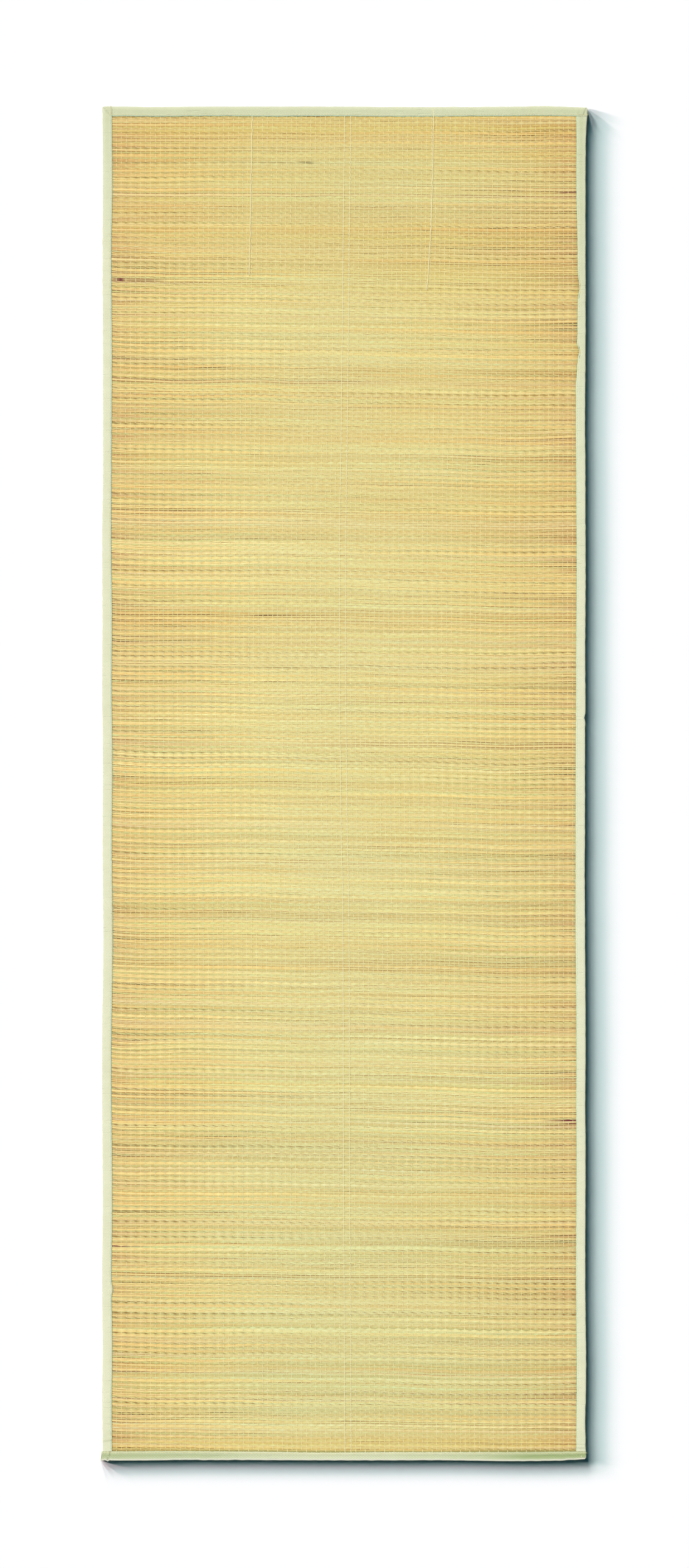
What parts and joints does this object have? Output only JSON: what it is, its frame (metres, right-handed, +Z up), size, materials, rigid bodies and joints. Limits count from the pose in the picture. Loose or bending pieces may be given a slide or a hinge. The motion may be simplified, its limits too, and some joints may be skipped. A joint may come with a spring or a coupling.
{
  "type": "straw beach mat",
  "caption": "Long flat beach mat of woven straw on thin cotton threads, its four edges bound with folded twill tape.",
  "frame": {"origin": "middle of the mat's footprint, on the surface that it lies on", "axes": "+X across the mat, towards the picture's right; +Y along the mat, towards the picture's top; +Z up, out of the mat's face"},
  "size_m": [0.6096, 1.7024, 0.003],
  "materials": {
    "straw": "natural woven straw, soft sheen",
    "tape": "undyed cotton twill tape, matte",
    "thread": "undyed cotton warp and sewing thread, matte"
  },
  "bodies": {
    "root": {"straw_panel": "straw", "binding_left": "tape", "binding_right": "tape", "binding_top": "tape", "binding_bottom": "tape"}
  },
  "joints": []
}
